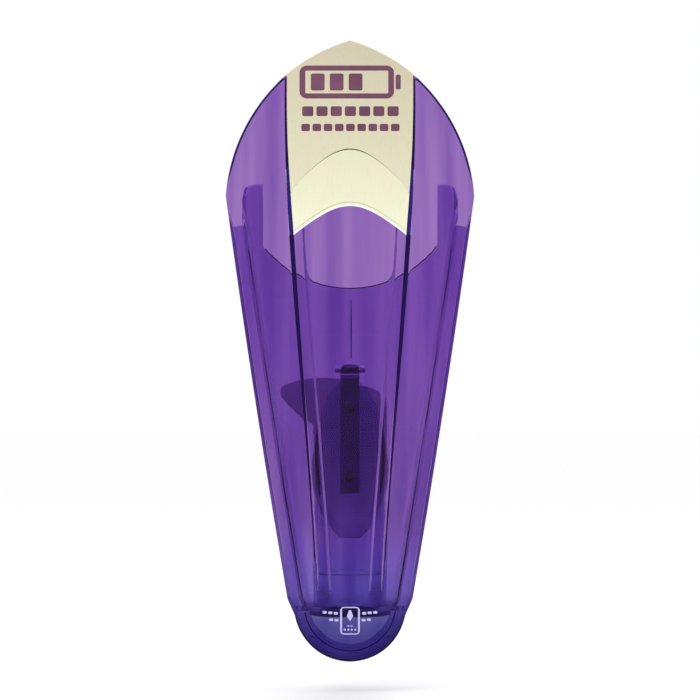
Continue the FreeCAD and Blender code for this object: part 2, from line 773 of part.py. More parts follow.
os.makedirs("parts", exist_ok=True)
for node in NODES:
    shape = node.Shape
    if shape.isNull() or not shape.isValid() or not shape.Solids:
        raise RuntimeError(f"{node.Label} has no valid solid")
    shape.exportStep(f"parts/{node.Label}.step")
    low, high = shape.BoundBox.ZMin, shape.BoundBox.ZMax
    print(f"{node.Label}: {len(shape.Solids)} solid, {shape.Volume:.0f} mm3, z {low:.1f} to {high:.1f}")
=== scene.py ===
"""Clear purple dust container of a cordless stick vacuum, in a white room.

Lengths are millimetres until a mesh is made. The clear shells and the trim are rebuilt as fine closed
meshes from the form functions below, which repeat the CAD model's; the rest keeps its CAD solids.
"""
import bpy
import bmesh
import math
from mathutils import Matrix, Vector


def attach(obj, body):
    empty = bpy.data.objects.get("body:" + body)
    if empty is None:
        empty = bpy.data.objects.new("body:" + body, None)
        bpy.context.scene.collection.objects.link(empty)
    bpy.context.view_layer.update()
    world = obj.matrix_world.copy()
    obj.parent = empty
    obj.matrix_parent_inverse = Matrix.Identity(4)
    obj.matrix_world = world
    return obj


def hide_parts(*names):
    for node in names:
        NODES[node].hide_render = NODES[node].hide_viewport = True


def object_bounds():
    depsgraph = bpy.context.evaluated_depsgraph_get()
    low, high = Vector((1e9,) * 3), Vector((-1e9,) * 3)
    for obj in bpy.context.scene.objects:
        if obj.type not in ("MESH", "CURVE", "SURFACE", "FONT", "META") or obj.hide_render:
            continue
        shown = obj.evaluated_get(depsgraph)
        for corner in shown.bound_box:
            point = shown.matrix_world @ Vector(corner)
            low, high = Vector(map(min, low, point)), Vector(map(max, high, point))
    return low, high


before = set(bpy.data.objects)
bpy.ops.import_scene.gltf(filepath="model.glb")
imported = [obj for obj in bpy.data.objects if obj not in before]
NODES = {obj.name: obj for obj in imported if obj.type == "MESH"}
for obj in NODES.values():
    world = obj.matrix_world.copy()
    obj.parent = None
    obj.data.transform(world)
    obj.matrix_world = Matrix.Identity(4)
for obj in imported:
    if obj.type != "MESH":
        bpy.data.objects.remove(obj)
CAD_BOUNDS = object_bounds()
MM = 0.001

# ------------------------------------------------------------ driving dimensions

# outline of the right half, seen from the front: its corners, and a point on each arc between them
CHIN, STEP, SHOULDER = (0.0, -20.0), (25.9, 1.6), (29.4, 9.5)
CORNER, APEX = (58.1, 197.7), (0.0, 270.0)
CHIN_BULGE, SIDE_BULGE, ARCH_BULGE = (16.8, -13.8), (44.3, 103.0), (46.9, 233.6)

# faceted front: its ridges, the channel between them, and how sharp its folds are
FRONT_REACH, BELLY, CHIN_SETBACK = 49.0, 145.0, 20.0
RIDGE_LOW, RIDGE_GAIN, RIDGE_START, RIDGE_RISE = 14.9, 15.4, -25.0, 270.0
STRIP, CHANNEL_DEPTH, CHANNEL_START, CHANNEL_RUN = 6.5, 2.4, -6.0, 22.0
FACET_FALL, FACET_CROWN, FACET_LEAST = 0.5, 0.9, 4.0
FLOOR_KNEE, RIDGE_KNEE = 1.4, 0.45

# front shell: its wall and lips, the thickening behind its strips, the chin's slots, the boss holes,
# the depth of a tool that cuts right through, and the heights between which the painted shade lines run
SHELL_WALL, LIP_WALL, SPLIT, LIP_TAPER, LIP_THIN = 2.6, 2.0, -21.0, 184.0, 176.0
RIM_ROUND = 0.9
GAIN, GAIN_LOW, GAIN_HIGH, GAIN_RUN = 1.3, 4.0, 232.0, 14.0
SLOT_HALF, SLOT_MIDDLE, SLOT_WIDE, SLOT_TALL, SLOT_FLOOR = 17.8, -8.0, 3.0, 1.4, -29.3
BOSS_HALF, BOSS_HEIGHT, BOSS_HOLE = 17.0, 238.0, 3.45
CUT_FRONT, CUT_BACK = -90.0, -30.0
LINE_LOW, LINE_HIGH = 28.0, 252.6

# rear tub
TUB_INSET, TUB_WALL, TUB_BACK, TUB_ROUND, TUB_DRAFT = 6.0, 1.7, 21.0, 6.0, 1.6
EAR_FRONT, EAR_BACK, EAR_INNER = 184.0, 205.5, 41.5
MOUTH_MIDDLE, MOUTH_SIDE, MOUTH_TOP = 155.0, 175.5, 260.0
FLOOR_LOW, FLOOR_HIGH, FLANGE_THICK, FLANGE_TOP, SKIRT_BACK = 4.0, 6.0, 1.6, 184.0, -16.5
KEEL_THICK, KEEL_DEEP, KEEL_LOW, KEEL_HIGH = 1.4, 3.0, 121.0, 151.0
GUIDE_HALF, GUIDE_WIDTH, GUIDE_LOW, GUIDE_HIGH, GUIDE_ROOT, GUIDE_DEEP = 34.0, 6.0, 114.5, 161.0, 0.8, 1.4
FLANGE_IN, SKIRT_OUT, SKIRT_IN, OVERLAP = 6.6, 6.0, 7.7, 1.0

# inlet duct, its socket, and the flap's hinge, which lies EYE_UP and EYE_OUT from the duct's upper lip
BORE, DUCT_OUT, DUCT_TOP, DUCT_FRONT = 15.0, 17.0, 112.0, 38.0
SOCKET, SOCKET_DEEP, DUCT_FIT = 15.6, 20.0, 0.12
EYE_UP, EYE_OUT, LUG_RADIUS, LUG_NEAR, LUG_FAR = 3.0, 3.4, 2.2, 5.0, 7.0
LEAN = math.atan2(2 * DUCT_OUT, DUCT_TOP - DUCT_FRONT)
HINGE = (DUCT_OUT + EYE_UP * math.sin(LEAN) - EYE_OUT * math.cos(LEAN),
         DUCT_TOP + EYE_UP * math.cos(LEAN) + EYE_OUT * math.sin(LEAN))

# trim: the crease over the crescent, the crescent's lower edge, and the window behind it
CREASE_MIDDLE, CREASE_SIDE, CREASE_GAP = 218.8, 198.5, 0.5
EDGE_MIDDLE, EDGE_SIDE, ARC_HALF, ARCH_BELL = 193.5, 180.0, 28.0, 0.4
WINDOW_GAP, WINDOW_MIDDLE_RAISE, WINDOW_SIDE_RAISE = 0.8, 9.0, 11.0
TRIM_FRONT, TRIM_BACK, TRIM_GAP, TRIM_LIFT, TRIM_CROWN = 0.1, 2.2, 0.25, 0.3, 0.5
TAPER, TAPER_TOP, TAPER_RUN = 1.5, 245.0, 65.0
BEAD_PROUD, BEAD_WIDE, GROOVE_DEEP, GROOVE_END = 0.16, 0.75, -0.45, 1.15


# ------------------------------------------------------------ form functions

def circle_through(a, b, c):
    """Centre and radius of the circle through three points."""
    (ax, ay), (bx, by), (cx, cy) = a, b, c
    d = 2 * (ax * (by - cy) + bx * (cy - ay) + cx * (ay - by))
    sa, sb, sc = ax * ax + ay * ay, bx * bx + by * by, cx * cx + cy * cy
    x = (sa * (by - cy) + sb * (cy - ay) + sc * (ay - by)) / d
    y = (sa * (cx - bx) + sb * (ax - cx) + sc * (bx - ax)) / d
    return x, y, math.hypot(ax - x, ay - y)


def arc_points(a, b, c, count):
    """Points along the arc from a through b to c, without c."""
    x, y, radius = circle_through(a, b, c)
    start = math.atan2(a[1] - y, a[0] - x)
    sweep = math.remainder(math.atan2(c[1] - y, c[0] - x) - start, math.tau)
    turns = (start + sweep * i / count for i in range(count))
    return [(x + radius * math.cos(turn), y + radius * math.sin(turn)) for turn in turns]


def straight_points(a, b, count):
    """Points along the line from a to b, without b."""
    return [(lerp(a[0], b[0], i / count), lerp(a[1], b[1], i / count)) for i in range(count)]


def smooth(fraction):
    """A fraction held between 0 and 1, with soft ends."""
    fraction = min(max(fraction, 0.0), 1.0)
    return fraction * fraction * (3 - 2 * fraction)


def lerp(a, b, fraction):
    """The value a fraction of the way from a to b."""
    return a + (b - a) * fraction


def ridge_half(z):
    """X of the right ridge at a height."""
    return RIDGE_LOW + RIDGE_GAIN * smooth((z - RIDGE_START) / RIDGE_RISE)


def ridge_front(z):
    """Y of the ridges at a height: furthest forward at the belly."""
    return -FRONT_REACH + CHIN_SETBACK * ((z - BELLY) / (BELLY - CHIN[1])) ** 2


SIDE_ARC = circle_through(SHOULDER, SIDE_BULGE, CORNER)
TOP_ARC = circle_through(CORNER, ARCH_BULGE, APEX)


def outline_half(z):
    """Half the container's width at a height above the chin's step."""
    if z >= CORNER[1]:
        x, y, radius = TOP_ARC
        return x + math.sqrt(max(radius ** 2 - (z - y) ** 2, 0.0))
    x, y, radius = SIDE_ARC
    return x + math.sqrt(radius ** 2 - (z - y) ** 2)


def ramp(distance, softness):
    """0 below 0 and distance above it, with a rounded knee."""
    return (distance + math.sqrt(distance ** 2 + softness ** 2)) / 2


def front_y(x, z):
    """Outer surface of the faceted front: channel floor, strip, ridge and crowned side facet."""
    ridge, across = ridge_half(z), abs(x)
    depth = CHANNEL_DEPTH * smooth((z - CHANNEL_START) / CHANNEL_RUN)
    rise = depth / STRIP
    y = ridge_front(z) + depth
    y -= rise * ramp(across - ridge + STRIP, FLOOR_KNEE)
    y += (rise + FACET_FALL) * ramp(across - ridge, RIDGE_KNEE)
    facet = min(max((across - ridge) / max(outline_half(z) - ridge, FACET_LEAST), 0.0), 1.0)
    return y - FACET_CROWN * 4 * facet * (1 - facet)


def strip_gain(x, z):
    """Extra thickness behind the strips beside the channel's floor."""
    past_ridge = abs(x) - ridge_half(z)
    along = smooth((z - GAIN_LOW) / GAIN_RUN) * (1 - smooth((z - GAIN_HIGH) / GAIN_RUN))
    across = smooth((past_ridge + STRIP + 0.6) / 1.4) * (1 - smooth(past_ridge + 1.0))
    return GAIN * along * across


OUTLINE = arc_points(CHIN, CHIN_BULGE, STEP, 44) + straight_points(STEP, SHOULDER, 6)
OUTLINE += arc_points(SHOULDER, SIDE_BULGE, CORNER, 120) + arc_points(CORNER, ARCH_BULGE, APEX, 90) + [APEX]


def heading(i):
    """Unit direction of the outline at its point i, from chin to apex."""
    (ax, az), (bx, bz) = OUTLINE[max(i - 2, 0)], OUTLINE[min(i + 2, len(OUTLINE) - 1)]
    length = math.hypot(bx - ax, bz - az)
    return (bx - ax) / length, (bz - az) / length


def inset(i, distance):
    """The outline's point i moved in by a distance, and never past the middle plane."""
    (x, z), (dx, dz) = OUTLINE[i], heading(i)
    x, z = x - dz * distance, z + dx * distance
    if x < 0:
        x, z = 0.0, z - dz * x / dx
    return x, z


def round_outline(x, y, radius, count):
    """Points round a circle about (x, y)."""
    turns = [i * math.tau / count for i in range(count)]
    return [(x + radius * math.cos(turn), y + radius * math.sin(turn)) for turn in turns]


def box_outline(x, y, wide, tall):
    """Corners of a rectangle about (x, y)."""
    return [(x + sx * wide / 2, y + sy * tall / 2) for sx, sy in ((-1, -1), (1, -1), (1, 1), (-1, 1))]


# ------------------------------------------------------------ mesh helpers

# points closer than this are joined, and edges sharper than this many degrees stay sharp
WELD, SHARP_ANGLE = 0.002, 32


def mesh_object(name, points, faces, body, replaced=()):
    """A smooth-shaded object from points in millimetres, welded, with its normals outwards."""
    mesh = bpy.data.meshes.new(name)
    mesh.from_pydata([tuple(v * MM for v in point) for point in points], [], faces)
    work = bmesh.new()
    work.from_mesh(mesh)
    bmesh.ops.remove_doubles(work, verts=work.verts, dist=WELD * MM)
    bmesh.ops.dissolve_degenerate(work, edges=work.edges, dist=WELD * MM / 4)
    bmesh.ops.recalc_face_normals(work, faces=work.faces)
    work.to_mesh(mesh)
    work.free()
    smooth_faces(mesh)
    item = bpy.data.objects.new(name, mesh)
    bpy.context.scene.collection.objects.link(item)
    if body:
        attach(item, body)
    if replaced:
        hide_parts(*replaced)
    return item


def smooth_faces(mesh):
    """Smooth shading, with edges sharper than SHARP_ANGLE kept sharp."""
    mesh.polygons.foreach_set("use_smooth", [True] * len(mesh.polygons))
    mesh.set_sharp_from_angle(angle=math.radians(SHARP_ANGLE))


def skin(rows, caps=False):
    """Points and faces through closed rows of equal length. caps closes the first and the last."""
    width = len(rows[0])
    points = [point for row in rows for point in row]
    faces = []
    for r in range(len(rows) - 1):
        for c in range(width):
            d = (c + 1) % width
            faces.append((r * width + c, r * width + d, (r + 1) * width + d, (r + 1) * width + c))
    if caps:
        faces.append(tuple(range(width)))
        faces.append(tuple(range((len(rows) - 1) * width, len(rows) * width)))
    return points, faces


def strip_caps(width, rows):
    """Faces that close both ends of rings whose two halves mirror each other."""
    faces = []
    for base in (0, (rows - 1) * width):
        for c in range(width // 2 - 1):
            faces.append((base + c, base + c + 1, base + width - 2 - c, base + width - 1 - c))
    return faces


def both_sides(half):
    """A full row, left to right, from the points of its right half, middle first."""
    return [(-x, y, z) for x, y, z in reversed(half)] + half[1:]


def prism(outline, low, high, axis="Y"):
    """Points and faces of a polygon pushed from low to high along an axis."""
    def place(a, b, depth):
        """One corner, with the axis's own coordinate in its place."""
        return {"X": (depth, a, b), "Y": (a, depth, b), "Z": (a, b, depth)}[axis]
    return skin([[place(a, b, depth) for a, b in outline] for depth in (low, high)], caps=True)


def thin_strip(name, pairs, thick):
    """A strip of the container from pairs of points on its front face, and how thick it is."""
    rows = []
    for pair in pairs:
        rows.append([*pair, *((x, y + thick, z) for x, y, z in reversed(pair))])
    return mesh_object(name, *skin(rows, caps=True), "container")


def sided(name, side):
    """A piece's name with its side, which is -1 on the left."""
    return name + ("_left" if side < 0 else "_right")


def carve(item, operation, points, faces):
    """Add a throwaway solid to an object, or cut it out."""
    tool = mesh_object(item.name + "_tool", points, faces, None)
    step = item.modifiers.new("carve", "BOOLEAN")
    step.operation, step.solver, step.object = operation, "MANIFOLD", tool
    with bpy.context.temp_override(object=item, active_object=item):
        bpy.ops.object.modifier_apply(modifier=step.name)
    bpy.data.objects.remove(tool)


# ------------------------------------------------------------ front shell

def rim_y(i):
    """Y of the shell's rear rim beside the outline's point i."""
    x, z = OUTLINE[i]
    visor = front_y(x, z) + SHELL_WALL
    if z >= CORNER[1]:
        return visor
    return lerp(SPLIT, visor, max((z - LIP_TAPER) / (CORNER[1] - LIP_TAPER), 0.0))


def surface_columns(edge, z):
    """X of the columns that cover half the front at a height, out to an edge."""
    ridge = ridge_half(z)
    floor = ridge - STRIP
    columns = [floor * i / 8 for i in range(8)]
    columns += [floor + d for d in (-1.0, -0.3, 0.3, 1.0, 2.0, 3.2, 4.4)]
    columns += [ridge + d for d in (-1.0, -0.6, -0.35, -0.15, 0.0, 0.15, 0.35, 0.6, 1.0)]
    out = max(edge - ridge - 1.0, 0.0)
    columns += [ridge + 1.0 + out * i / 12 for i in range(1, 13)]
    return [min(max(x, 0.0), edge) for x in columns]


def shell_half(i, depth, start, turn):
    """Half a row of one skin: across the front, round the corner and back along the lip to the rim."""
    x, z = inset(i, start + turn)
    half = []
    for column in surface_columns(x, z):
        gain = strip_gain(column, z) if depth else 0.0
        half.append((column, front_y(column, z) + depth + gain, z))
    front_end = half[-1][1]
    edge_x, edge_z = inset(i, start)
    edge_y, back = front_y(edge_x, edge_z) + depth, rim_y(i)
    reach = min(turn, max(back - edge_y, 0.0) * 0.8)
    for s in (0.2, 0.4, 0.6, 0.8, 1.0):
        out = 1 - (1 - s) ** 2
        bend_y = lerp(front_end, edge_y, s) + reach * s * s
        half.append((lerp(x, edge_x, out), bend_y, lerp(z, edge_z, out)))
    bend_end = half[-1][1]
    half += [(edge_x, lerp(bend_end, back, s), edge_z) for s in (0.25, 0.5, 0.75, 1.0)]
    return half


def button_window():
    """Outline of the opening behind the crescent, whose lower side follows the crescent's edge."""
    window = []
    for step in range(49):
        share = math.sin(math.radians(90 * (step / 24 - 1)))
        z = arch_height(share, EDGE_MIDDLE, EDGE_SIDE) - WINDOW_GAP
        window.append((share * trim_half(z), z))
    low, high = EDGE_SIDE - WINDOW_GAP, CREASE_SIDE + WINDOW_SIDE_RAISE
    top = (0, CREASE_MIDDLE + WINDOW_MIDDLE_RAISE)
    window += [(ridge_half(low) + TRIM_GAP, low), (ridge_half(high) + TRIM_GAP, high)]
    window += arc_points((ridge_half(high), high), top, (-ridge_half(high), high), 40)
    return window + [(-ridge_half(high) - TRIM_GAP, high), (-ridge_half(low) - TRIM_GAP, low)]


def front_shell():
    """The clear front with its lips, its button window, and its slots and boss holes."""
    rows = []
    for i in range(len(OUTLINE)):
        lip = LIP_WALL * (1 - smooth((OUTLINE[i][1] - LIP_THIN) / (CORNER[1] - LIP_THIN)))
        outer = both_sides(shell_half(i, 0.0, 0.0, RIM_ROUND))
        inner = both_sides(shell_half(i, SHELL_WALL, lip, RIM_ROUND if lip > 1.0 else RIM_ROUND * lip))
        rows.append(outer + inner[::-1])
    shell = mesh_object("clear_front", *skin(rows), "container", ["front_shell"])
    carve(shell, "DIFFERENCE", *prism(button_window(), CUT_FRONT, CUT_BACK))
    for side in (-1, 1):
        slot = box_outline(side * SLOT_HALF, SLOT_MIDDLE, SLOT_WIDE, SLOT_TALL)
        carve(shell, "DIFFERENCE", *prism(slot, CUT_FRONT, SLOT_FLOOR))
        boss = round_outline(side * BOSS_HALF, BOSS_HEIGHT, BOSS_HOLE, 32)
        carve(shell, "DIFFERENCE", *prism(boss, CUT_FRONT, CUT_BACK))
    smooth_faces(shell.data)
    return shell


def ridge_shade_line(side):
    """Painted shade along the fold beside the channel: a narrow dark strip just under the shell's face, in
    place of the dark line that the thick fold shows.
    """
    under, thick, past = 0.45, 0.8, 0.15
    pairs = []
    for level in range(101):
        z = lerp(LINE_LOW, LINE_HIGH, level / 100)
        wide = lerp(0.3, 1.9, smooth((z - LINE_LOW) / 150)) * lerp(1.0, 0.55, smooth((z - 225) / 30))
        edges = (ridge_half(z) - wide, ridge_half(z) + past)
        pairs.append([(side * x, front_y(x, z) + under, z) for x in edges])
    return thin_strip(sided("ridge_shade_line", side), pairs, thick)


def arch_shade_line(side):
    """Painted shade along the visor's edge: a thin dark strip in place of the dark line that the edge's
    thickness shows.
    """
    under, thick, start = 0.5, 1.4, CORNER[1] + 2
    pairs = []
    for i in range(len(OUTLINE)):
        if not start < OUTLINE[i][1] < LINE_HIGH:
            continue
        wide = 0.95 * smooth((OUTLINE[i][1] - start) / 14)
        (outer, high), (inner, low) = inset(i, 0.12), inset(i, 0.2 + wide)
        front = front_y(inner, low) + under
        pairs.append([(side * outer, front, high), (side * inner, front, low)])
    return thin_strip(sided("arch_shade_line", side), pairs, thick)


def chin_shade_line(name, start, wide):
    """Painted shade along an edge round the chin: a thin dark strip in place of the dark line that the edge
    shows, seen end on.
    """
    under, thick = 0.6, 1.2
    pairs = []
    last = max(i for i, (x, z) in enumerate(OUTLINE) if z <= STEP[1])
    for i in range(-last, last + 1):
        side = -1 if i < 0 else 1
        (outer, low), (inner, high) = inset(abs(i), start), inset(abs(i), start + wide)
        front = front_y(inner, high) + under
        pairs.append([(side * outer, front, low), (side * inner, front, high)])
    return thin_strip(name, pairs, thick)


# ------------------------------------------------------------ rear tub

def tub_path(z, offset):
    """Half a horizontal section of the tub's wall as (x, y), front edge first."""
    half = outline_half(max(z, SHOULDER[1])) - TUB_INSET - offset
    if z < SHOULDER[1]:
        half -= (SHOULDER[1] - z) * (SHOULDER[0] - STEP[0]) / (SHOULDER[1] - STEP[1])
    back, radius = TUB_BACK - offset, TUB_ROUND - offset
    path = [(half - TUB_DRAFT * s, lerp(SPLIT, back - radius, s)) for s in (0.0, 0.25, 0.5, 0.75)]
    middle = half - TUB_DRAFT - radius
    for step in range(9):
        turn = math.radians(90 * step / 8)
        path.append((middle + radius * math.cos(turn), back - radius + radius * math.sin(turn)))
    return path + [(middle * (1 - s / 10), back) for s in range(1, 11)]


def tub_rows():
    """Rows of the tub's wall from its floor to its upper edge: its outside, then its inside."""
    rows = []
    for level in range(61):
        row = []
        for offset in (0.0, TUB_WALL):
            half = []
            for column in range(len(tub_path(100, offset))):
                y = tub_path(100, offset)[column][1]
                top = lerp(EAR_FRONT, EAR_BACK, (y - SPLIT) / (TUB_BACK - SPLIT))
                z = lerp(FLOOR_LOW, top, level / 60)
                half.append((*tub_path(z, offset)[column], z))
            full = half + [(-x, y, z) for x, y, z in reversed(half[:-1])]
            row += full if not offset else full[::-1]
        rows.append(row)
    return rows


def rear_tub():
    """The clear tub with its ears, flange, chin skirt, floor, keel, guides and hinge lugs."""
    rows = tub_rows()
    points, faces = skin(rows)
    faces += strip_caps(len(rows[0]), len(rows))
    tub = mesh_object("clear_tub", points, faces, "container", ["rear_tub"])
    mouth = arc_points((-EAR_INNER, MOUTH_SIDE), (0, MOUTH_MIDDLE), (EAR_INNER, MOUTH_SIDE), 64)
    mouth += [(EAR_INNER, MOUTH_SIDE), (EAR_INNER, MOUTH_TOP), (-EAR_INNER, MOUTH_TOP)]
    carve(tub, "DIFFERENCE", *prism(mouth, 5, 60))
    carve(tub, "UNION", *rim_strip(FLANGE_TOP, (0, FLANGE_IN), (SPLIT + 0.02, SPLIT + FLANGE_THICK)))
    carve(tub, "UNION", *rim_strip(FLOOR_LOW + OVERLAP, (SKIRT_OUT, SKIRT_IN), (SPLIT + 0.5, SKIRT_BACK)))
    carve(tub, "UNION", *tub_floor())
    hole = round_outline(0, 0, DUCT_OUT + DUCT_FIT, 96)
    carve(tub, "DIFFERENCE", *prism(hole, -5, 12, "Z"))
    keel_front, keel_back = TUB_BACK - TUB_WALL - KEEL_DEEP, TUB_BACK - OVERLAP
    keel = box_outline(0, (keel_front + keel_back) / 2, KEEL_THICK, keel_back - keel_front)
    carve(tub, "UNION", *prism(keel, KEEL_LOW, KEEL_HIGH, "Z"))
    for side in (-1, 1):
        guide = [(side * (GUIDE_HALF - GUIDE_WIDTH / 2), GUIDE_HIGH),
                 (side * (GUIDE_HALF + GUIDE_WIDTH / 2), GUIDE_HIGH), (side * GUIDE_HALF, GUIDE_LOW)]
        carve(tub, "UNION", *prism(guide, TUB_BACK - GUIDE_ROOT, TUB_BACK + GUIDE_DEEP))
        carve(tub, "UNION", *prism(hinge_lug(), *sorted((side * LUG_NEAR, side * LUG_FAR)), "X"))
    smooth_faces(tub.data)
    return tub


def hinge_lug():
    """Outline in Y and Z of a lug round the flap's pin."""
    y, z = HINGE
    turns = (math.pi * (i / 24 - 0.5) for i in range(25))
    eye = [(y - LUG_RADIUS * math.cos(turn), z + LUG_RADIUS * math.sin(turn)) for turn in turns]
    return eye + [(TUB_BACK - OVERLAP, z + LUG_RADIUS), (TUB_BACK - OVERLAP, z - LUG_RADIUS)]


def rim_strip(top, insets, depths):
    """A bar that follows the outline round the chin, between two insets and two values of y."""
    (outer, inner), (front, back) = insets, depths
    last = max(i for i, (x, z) in enumerate(OUTLINE) if z <= top)
    section = [(outer, front), (inner, front), (inner, back), (outer, back)]
    rows = []
    for i in range(-last, last + 1):
        side = -1 if i < 0 else 1
        rows.append([(side * inset(abs(i), d)[0], y, inset(abs(i), d)[1]) for d, y in section])
    return skin(rows, caps=True)


def edge_shade_line(name, path, front, back, wide):
    """Painted shade along an edge of the tub's back wall: a thin dark strip just inside it, in place of the
    dark line that the edge shows seen end on.
    """
    inside = 0.12
    pairs = []
    for i in range(len(path)):
        (ax, az), (bx, bz) = path[max(i - 1, 0)], path[min(i + 1, len(path) - 1)]
        length = math.hypot(bx - ax, bz - az)
        x, z, across, down = *path[i], (bz - az) / length, -(bx - ax) / length
        pairs.append([(x + across * d, front, z + down * d) for d in (inside, inside + wide)])
    return thin_strip(name, pairs, back - front)


def tub_floor():
    """Plate across the tub, shaped at its front to the inside of the front shell."""
    wide = outline_half(SHOULDER[1]) - 1.4
    back = wide - TUB_INSET - TUB_DRAFT
    right = [(back - 5.5, 20.5), (back, 14.0),
             (wide - TUB_INSET - 0.4, SPLIT + 0.5), (wide - LIP_WALL - 0.9, SPLIT + 0.4)]
    for x in (24.0, 20.0, 15.5, 12.0, 9.0, 4.0):
        right.append((x, front_y(x, FLOOR_HIGH) + SHELL_WALL + 0.3))
    return prism(right + [(-x, y) for x, y in reversed(right)], FLOOR_LOW, FLOOR_HIGH, "Z")


def inlet_tube():
    """Duct whose upper end is cut at a slant."""
    rows = []
    for a in range(128):
        cos, sin = math.cos(a * math.tau / 128), math.sin(a * math.tau / 128)
        ring = []
        for radius, z in ((DUCT_OUT, 0.0), (DUCT_OUT, None), (BORE, None), (BORE, SOCKET_DEEP),
                          (SOCKET, SOCKET_DEEP), (SOCKET, 0.0)):
            top = DUCT_TOP - (DUCT_OUT - radius * sin) * (DUCT_TOP - DUCT_FRONT) / (2 * DUCT_OUT)
            ring.append((radius * cos, radius * sin, top if z is None else z))
        rows.append(ring)
    tube = mesh_object("clear_duct", *skin(rows + rows[:1]), "container", ["inlet_tube"])
    soften(tube, 0.35)
    return tube


def soften(item, width, segments=3):
    """Round an object's sharp edges, keeping its flat faces flat."""
    bevel = item.modifiers.new("soften", "BEVEL")
    bevel.width, bevel.segments, bevel.limit_method = width * MM, segments, "ANGLE"
    bevel.angle_limit = math.radians(35)
    bevel.harden_normals = True


# ------------------------------------------------------------ trim

def arch_height(share, middle, side):
    """Z of an arch over the channel, part circle and part bell. share is 0 in its middle, 1 at its end."""
    cx, cz, radius = circle_through((-ARC_HALF, side), (0, middle), (ARC_HALF, side))
    circle = cz + math.sqrt(radius ** 2 - (share * ARC_HALF - cx) ** 2)
    bell = side + (middle - side) * (1 + math.cos(math.pi * share)) / 2
    return lerp(circle, bell, ARCH_BELL)


def trim_half(z):
    """Half the trim's width, whose sides stand back from the ridges towards its lower tips."""
    return ridge_half(z) - 2 * TRIM_GAP - TAPER * max((TAPER_TOP - z) / TAPER_RUN, 0.0)


def trim_surface(x, z):
    """Y of the trim's face, which is furthest forward in its middle."""
    share = min(abs(x) / trim_half(z), 1.0)
    return ridge_front(z) + TRIM_FRONT + TRIM_LIFT - TRIM_CROWN * (1 - share ** 2)


def bead(distance):
    """How far the crescent's face stands forward, by the distance above its edge: a rim, then a groove."""
    if distance < BEAD_WIDE:
        return BEAD_PROUD
    return GROOVE_DEEP if distance < GROOVE_END else 0.0


def trim_piece(name, node, body, low, high, back_inset, rim=False):
    """A plate that fills the channel between two edges, given as functions of the share of its width."""
    rows = []
    rises = (0.0, 0.2, 0.7, 0.8, 1.1, 1.2, 1.5) if rim else (0.0,)
    levels = [(rise, 0.0) for rise in rises] + [(rises[-1], i / 48) for i in range(1, 49)]
    for rise, fraction in levels:
        front, back = [], []
        for column in range(-30, 31):
            share = math.sin(math.radians(90 * column / 30))
            edge = low(share)
            z = lerp(edge + rise, high(share), fraction)
            half = trim_half(z)
            proud = bead(z - edge) if rim else 0.0
            front.append((share * half, trim_surface(share * half, z) - proud, z))
            back.append((share * (half - back_inset), ridge_front(z) + TRIM_BACK, z))
        rows.append(front + back[::-1])
    points, faces = skin(rows)
    faces += strip_caps(len(rows[0]), len(rows))
    piece = mesh_object(name, points, faces, body, [node])
    if not rim:
        soften(piece, 0.35)
    return piece


def arch_top(x):
    """Z of the container's upper outline at x."""
    cx, cz, radius = TOP_ARC
    return cz + math.sqrt(radius ** 2 - (abs(x) - cx) ** 2)


# ------------------------------------------------------------ printed marks

def printed(name, outlines, body, proud, surface):
    """Thin ink on a surface, from outlines in X and Z, cut fine enough to follow it."""
    mesh = bpy.data.meshes.new(name)
    work = bmesh.new()
    for outline in outlines:
        work.faces.new([work.verts.new((x * MM, 0, z * MM)) for x, z in outline])
    bmesh.ops.triangulate(work, faces=work.faces)
    for _ in range(3):
        long_edges = [edge for edge in work.edges if edge.calc_length() > 2.0 * MM]
        bmesh.ops.subdivide_edges(work, edges=long_edges, cuts=1)
        bmesh.ops.triangulate(work, faces=work.faces)
    for vert in work.verts:
        vert.co.y = (surface(vert.co.x / MM, vert.co.z / MM) - proud) * MM
    backing = bmesh.ops.extrude_face_region(work, geom=work.faces[:])
    moved = [vert for vert in backing["geom"] if isinstance(vert, bmesh.types.BMVert)]
    bmesh.ops.translate(work, verts=moved, vec=(0, 0.03 * MM, 0))
    bmesh.ops.recalc_face_normals(work, faces=work.faces)
    work.to_mesh(mesh)
    work.free()
    item = bpy.data.objects.new(name, mesh)
    bpy.context.scene.collection.objects.link(item)
    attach(item, body)
    return item


def rounded_box(x, z, wide, tall, radius, segments=5):
    """Outline of a rounded rectangle about a centre."""
    points = []
    for turn, sx, sz in ((0, 1, 1), (90, -1, 1), (180, -1, -1), (270, 1, -1)):
        for step in range(segments + 1):
            a = math.radians(turn + 90 * step / segments)
            points.append((x + sx * (wide / 2 - radius) + radius * math.cos(a),
                           z + sz * (tall / 2 - radius) + radius * math.sin(a)))
    return points


def frame_parts(x, z, wide, tall, radius, line):
    """A rounded frame as four outlines, one for each side, that meet at its corners' middles."""
    segments = 6
    outer = rounded_box(x, z, wide, tall, radius, segments)
    inner = rounded_box(x, z, wide - 2 * line, tall - 2 * line, max(radius - line, 0.2), segments)
    parts = []
    for corner in range(4):
        first = corner * (segments + 1) + segments // 2
        picks = [(first + step) % len(outer) for step in range(segments + 2)]
        parts.append([outer[i] for i in picks] + [inner[i] for i in reversed(picks)])
    return parts


def dashes(count, x, z, pitch, wide, tall, radius):
    """A row of plain dashes in place of lettering, the first of them about (x, z)."""
    return [rounded_box(x + pitch * i, z, wide, tall, radius) for i in range(count)]


def battery_mark(z):
    """A battery lying on its side: its outline, its nub and three bars."""
    bars = [rounded_box(x, z, 6.4, 8.0, 0.9) for x in (-15.0, -6.2, 2.6)]
    return frame_parts(-1.5, z, 44, 15.5, 3.4, 2.4) + [rounded_box(22.4, z, 2.4, 7.0, 0.9)] + bars


